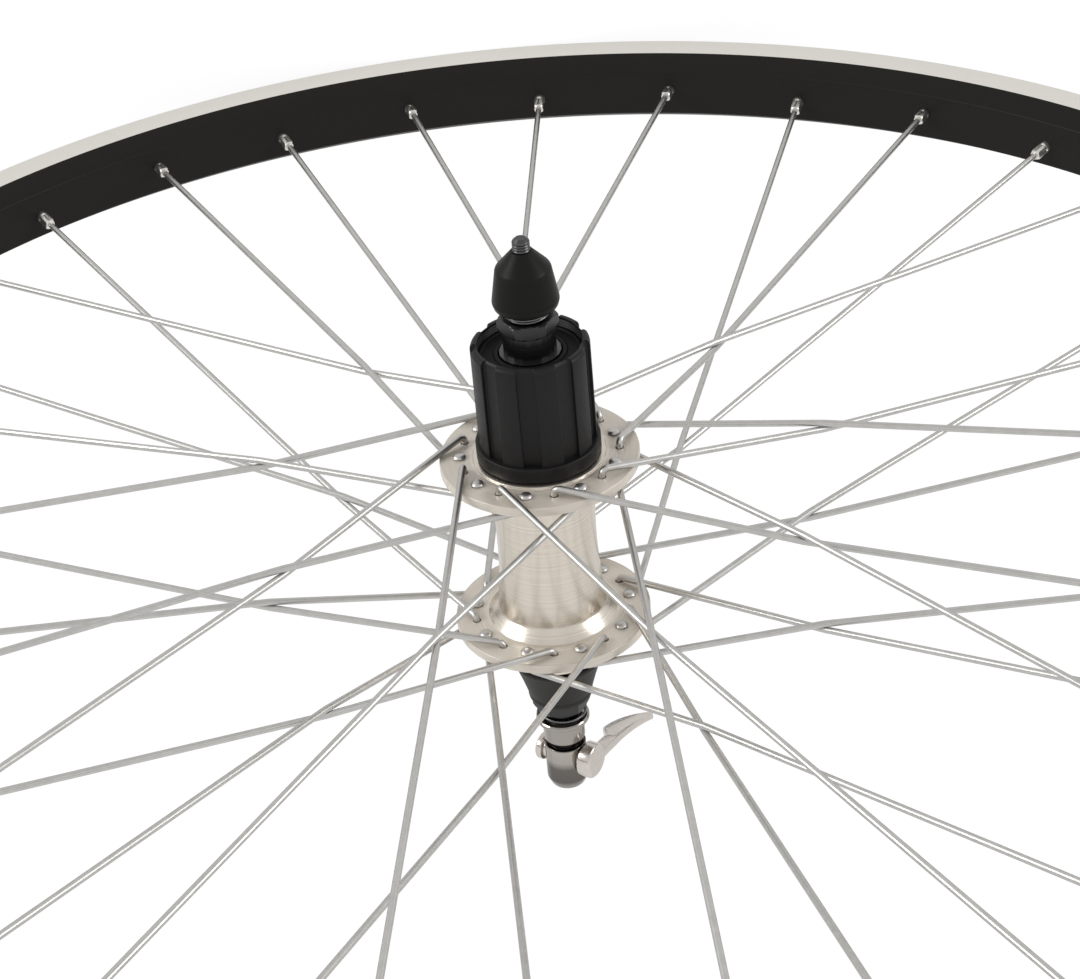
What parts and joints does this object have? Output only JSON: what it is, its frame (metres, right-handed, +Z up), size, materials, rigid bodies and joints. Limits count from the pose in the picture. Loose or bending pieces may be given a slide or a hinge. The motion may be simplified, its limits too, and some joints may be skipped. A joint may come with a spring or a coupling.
{
  "type": "bicycle rear wheel",
  "caption": "Spoked rear bicycle wheel for rim brakes, with a polished hub, a splined freehub and a quick-release skewer, without tyre or sprockets.",
  "frame": {"origin": "the wheel's centre: on the axle's axis, in the rim's middle plane", "axes": "+Y along the axle, away from the drive side; +Z up, through the valve hole; +X forward"},
  "size_m": [0.571, 0.1886, 0.571],
  "materials": {
    "rim_black": "black anodised, with bare machined brake tracks",
    "spoke_steel": "drawn stainless steel",
    "nipple_plate": "nickel plated",
    "hub_polish": "polished",
    "bearing_steel": "ground",
    "locknut_steel": "dark plated",
    "freehub_black": "black plated, satin",
    "cap_black": "moulded",
    "boot_rubber": "moulded, matt",
    "spring_steel": "dark plated wire",
    "skewer_steel": "dark plated",
    "lever_polish": "polished",
    "nut_black": "black anodised, satin"
  },
  "bodies": {
    "axle": {"axle": "bearing_steel", "left_cone": "bearing_steel", "right_cone": "bearing_steel", "spacers": "bearing_steel", "locknuts": "locknut_steel", "rubber_boot": "boot_rubber", "springs": "spring_steel"},
    "wheel": {"rim": "rim_black", "nipples": "nipple_plate", "hub_shell": "hub_polish", "left_bearing_cup": "bearing_steel", "left_dust_cap": "hub_polish", "freehub_core": "bearing_steel", "freehub_bolt": "bearing_steel", "drive_inner_spoke_1": "spoke_steel", "drive_inner_spoke_2": "spoke_steel", "drive_inner_spoke_3": "spoke_steel", "drive_inner_spoke_4": "spoke_steel", "drive_inner_spoke_5": "spoke_steel", "drive_inner_spoke_6": "spoke_steel", "drive_inner_spoke_7": "spoke_steel", "drive_inner_spoke_8": "spoke_steel", "drive_inner_spoke_9": "spoke_steel", "left_inner_spoke_1": "spoke_steel", "left_inner_spoke_2": "spoke_steel", "left_inner_spoke_3": "spoke_steel", "left_inner_spoke_4": "spoke_steel", "left_inner_spoke_5": "spoke_steel", "left_inner_spoke_6": "spoke_steel", "left_inner_spoke_7": "spoke_steel", "left_inner_spoke_8": "spoke_steel", "left_inner_spoke_9": "spoke_steel", "drive_outer_spoke_1": "spoke_steel", "drive_outer_spoke_2": "spoke_steel", "drive_outer_spoke_3": "spoke_steel", "drive_outer_spoke_4": "spoke_steel", "drive_outer_spoke_5": "spoke_steel", "drive_outer_spoke_6": "spoke_steel", "drive_outer_spoke_7": "spoke_steel", "drive_outer_spoke_8": "spoke_steel", "drive_outer_spoke_9": "spoke_steel", "left_outer_spoke_1": "spoke_steel", "left_outer_spoke_2": "spoke_steel", "left_outer_spoke_3": "spoke_steel", "left_outer_spoke_4": "spoke_steel", "left_outer_spoke_5": "spoke_steel", "left_outer_spoke_6": "spoke_steel", "left_outer_spoke_7": "spoke_steel", "left_outer_spoke_8": "spoke_steel", "left_outer_spoke_9": "spoke_steel"},
    "freehub": {"freehub_shell": "freehub_black", "freehub_dust_cap": "cap_black"},
    "bearing_balls": {"left_bearing_balls": "bearing_steel", "right_bearing_balls": "bearing_steel"},
    "skewer": {"skewer_rod": "skewer_steel", "skewer_head": "lever_polish"},
    "lever": {"quick_release_lever": "lever_polish", "cam_cap": "lever_polish"},
    "nut": {"skewer_nut": "nut_black"}
  },
  "joints": [
    {"name": "wheel_spin", "type": "hinge", "parent": "axle", "child": "wheel", "pos_m": [0, 0, 0], "axis": [0, 1, 0], "continuous": true},
    {"name": "freehub_spin", "type": "hinge", "parent": "wheel", "child": "freehub", "pos_m": [0, 0, 0], "axis": [0, 1, 0], "continuous": true},
    {"name": "balls_roll", "type": "hinge", "parent": "axle", "child": "bearing_balls", "pos_m": [0, 0, 0], "axis": [0, 1, 0], "continuous": true},
    {"name": "skewer_turn", "type": "hinge", "parent": "axle", "child": "skewer", "pos_m": [0, 0, 0], "axis": [0, 1, 0], "continuous": true},
    {"name": "lever_swing", "type": "hinge", "parent": "skewer", "child": "lever", "pos_m": [0, 0.0864, 0], "axis": [0.809, 0, -0.5878], "range_deg": [0, 180]},
    {"name": "nut_turn", "type": "hinge", "parent": "skewer", "child": "nut", "pos_m": [0, 0, 0], "axis": [0, 1, 0], "continuous": true}
  ],
  "couplings": [
    {"joint": "balls_roll", "follows": "wheel_spin", "ratio": 0.618}
  ]
}
